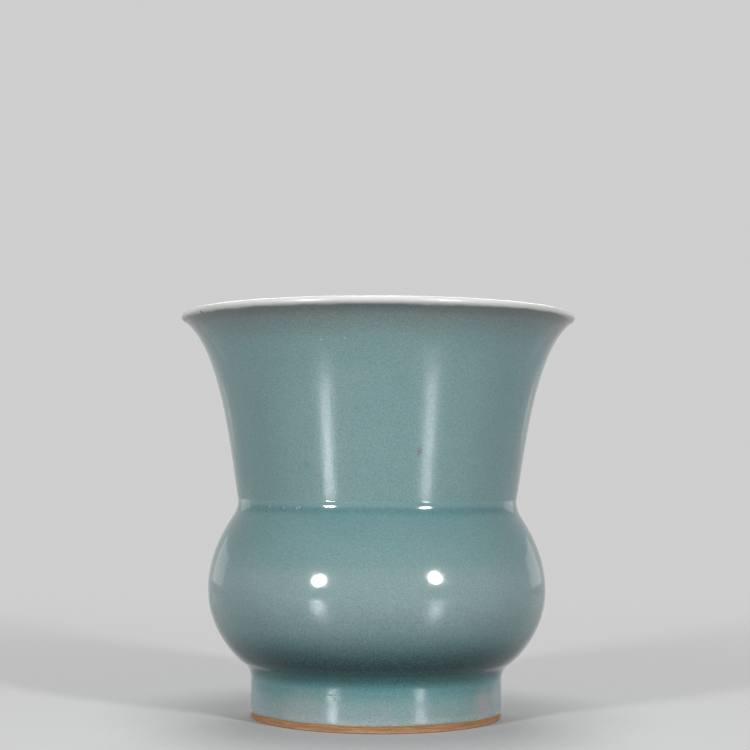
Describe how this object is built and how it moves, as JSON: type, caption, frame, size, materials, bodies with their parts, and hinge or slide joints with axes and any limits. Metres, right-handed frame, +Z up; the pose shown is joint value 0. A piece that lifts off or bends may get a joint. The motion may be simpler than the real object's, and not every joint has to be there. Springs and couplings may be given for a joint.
{
  "type": "zhadou",
  "caption": "Porcelain vessel with a wide trumpet neck, round belly and straight foot, in blue-green glaze with a white lip.",
  "frame": {"origin": "centre of the foot's resting edge, on the table", "axes": "+Z up along the axis of the vessel; the picture looks along +Y, with +X to the right"},
  "size_m": [0.1482, 0.1482, 0.15],
  "materials": {
    "bare_porcelain": "unglazed high-fired clay, flushed orange-brown by the kiln, slightly gritty",
    "luting_slip": "fired slip between the thrown sections, pale and matt",
    "celadon_glaze": "glossy blue-green glaze with fine bubbles, darker where it pools",
    "white_rim_glaze": "glossy opaque white glaze fading into the blue-green one",
    "inner_celadon_glaze": "glossy blue-green glaze on the inside",
    "pale_base_glaze": "thin clear to pale blue-green glaze inside the foot"
  },
  "bodies": {
    "root": {"foot_ring": "bare_porcelain", "foot_slip_seam": "luting_slip", "bowl_section": "bare_porcelain", "belly_slip_seam": "luting_slip", "shoulder_section": "bare_porcelain", "neck_slip_seam": "luting_slip", "neck_section": "bare_porcelain", "outer_glaze": "celadon_glaze", "rim_glaze": "white_rim_glaze", "inner_glaze": "inner_celadon_glaze", "base_glaze": "pale_base_glaze"}
  },
  "joints": []
}
